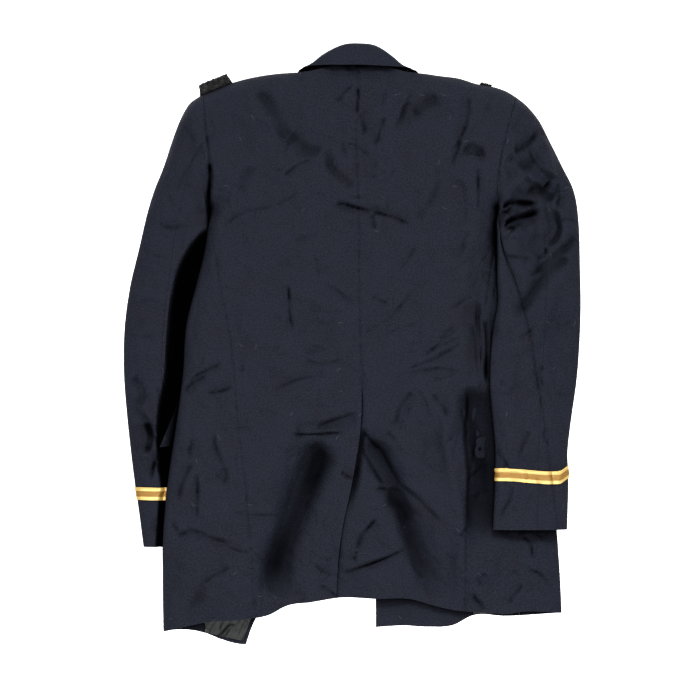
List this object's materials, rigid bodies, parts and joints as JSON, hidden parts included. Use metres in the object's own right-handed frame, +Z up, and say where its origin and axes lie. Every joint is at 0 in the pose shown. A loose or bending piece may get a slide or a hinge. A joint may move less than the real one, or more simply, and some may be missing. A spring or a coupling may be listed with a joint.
{
  "type": "military dress tunic laid flat face down",
  "caption": "Dark navy wool dress tunic laid face down, with turned collar, back vent, long sleeves, gold cuff braid and a shoulder pad of hook fastener.",
  "frame": {"origin": "middle of the tunic's box, on the surface that it lies on", "axes": "+X to the wearer's right, +Y from the hem to the collar, +Z up out of the back; the tunic lies face down"},
  "size_m": [0.6706, 0.8792, 0.0496],
  "materials": {
    "navy_wool": "worsted wool, midnight navy, nearly black, soft sheen, lint and small creases",
    "braid": "gold metallic braid with two bright edges and a ribbed darker middle",
    "fastener_pad": "fuzzy woven hook fastener tape, dark grey",
    "lining": "satin lining, dark grey, glossy",
    "gilt_button": "gilt brass, polished dome, plain"
  },
  "bodies": {
    "root": {"back_left": "navy_wool", "back_right": "navy_wool", "side_left": "navy_wool", "side_right": "navy_wool", "front_left": "navy_wool", "front_right": "navy_wool", "lapel_left": "navy_wool", "lapel_right": "navy_wool", "collar_fall": "navy_wool", "collar_stand": "navy_wool", "sleeve_left_top": "navy_wool", "sleeve_left_under": "navy_wool", "sleeve_right_top": "navy_wool", "sleeve_right_under": "navy_wool", "braid_left": "braid", "braid_right": "braid", "flap_left": "navy_wool", "flap_right": "navy_wool", "strap_left": "fastener_pad", "strap_right": "fastener_pad", "lining_left": "lining", "lining_right": "lining", "button_1": "gilt_button", "button_2": "gilt_button", "button_3": "gilt_button", "button_4": "gilt_button"}
  },
  "joints": []
}
